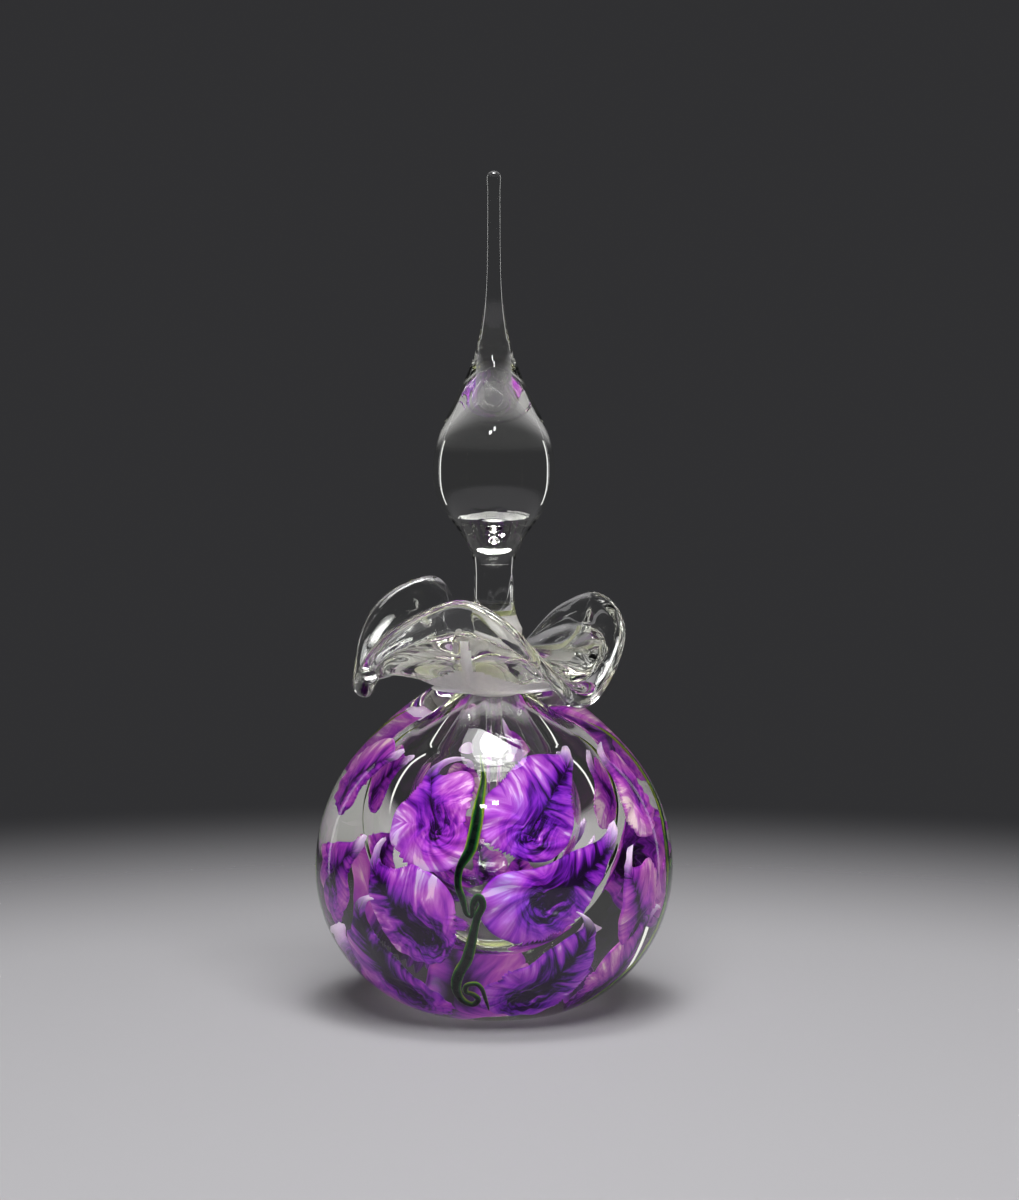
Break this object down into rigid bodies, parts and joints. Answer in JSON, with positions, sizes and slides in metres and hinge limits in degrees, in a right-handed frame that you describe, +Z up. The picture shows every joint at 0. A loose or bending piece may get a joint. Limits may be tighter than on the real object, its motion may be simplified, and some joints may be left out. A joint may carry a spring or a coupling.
{
  "type": "perfume bottle",
  "caption": "Heavy round hand-blown glass perfume bottle with cased violet flowers and green vines, a wavy flared lip, and a drawn teardrop stopper with a ground plug and dauber.",
  "frame": {"origin": "middle of the flat base the bottle stands on", "axes": "+Z up along the bottle's and the stopper's axis, -Y towards the front with the drooping lip and the vine, +X to the front view's right"},
  "size_m": [0.086, 0.086, 0.1996],
  "materials": {
    "clear_glass": "fire-polished clear glass",
    "frosted_glass": "ground and frosted glass",
    "petal_glass": "streaked violet and lavender glass inside the clear wall",
    "vine_glass": "dark green glass with yellow-green edges inside the clear wall"
  },
  "bodies": {
    "bottle": {"outer_casing": "clear_glass", "inner_gather": "clear_glass", "lip_wrap": "clear_glass", "vine_front": "vine_glass", "vine_right": "vine_glass", "vine_left": "vine_glass", "flower_upper_1": "petal_glass", "flower_upper_2": "petal_glass", "flower_upper_3": "petal_glass", "flower_upper_4": "petal_glass", "flower_upper_5": "petal_glass", "flower_upper_6": "petal_glass", "flower_middle_1": "petal_glass", "flower_middle_2": "petal_glass", "flower_middle_3": "petal_glass", "flower_middle_4": "petal_glass", "flower_middle_5": "petal_glass", "flower_middle_6": "petal_glass", "flower_lower_1": "petal_glass", "flower_lower_2": "petal_glass", "flower_lower_3": "petal_glass", "flower_lower_4": "petal_glass", "flower_lower_5": "petal_glass", "flower_lower_6": "petal_glass"},
    "stopper": {"finial": "clear_glass", "ground_plug": "frosted_glass", "dauber": "clear_glass"}
  },
  "joints": [
    {"name": "stopper_lift", "type": "slide", "parent": "bottle", "child": "stopper", "axis": [0, 0, 1], "range_m": [0, 0.08]}
  ]
}
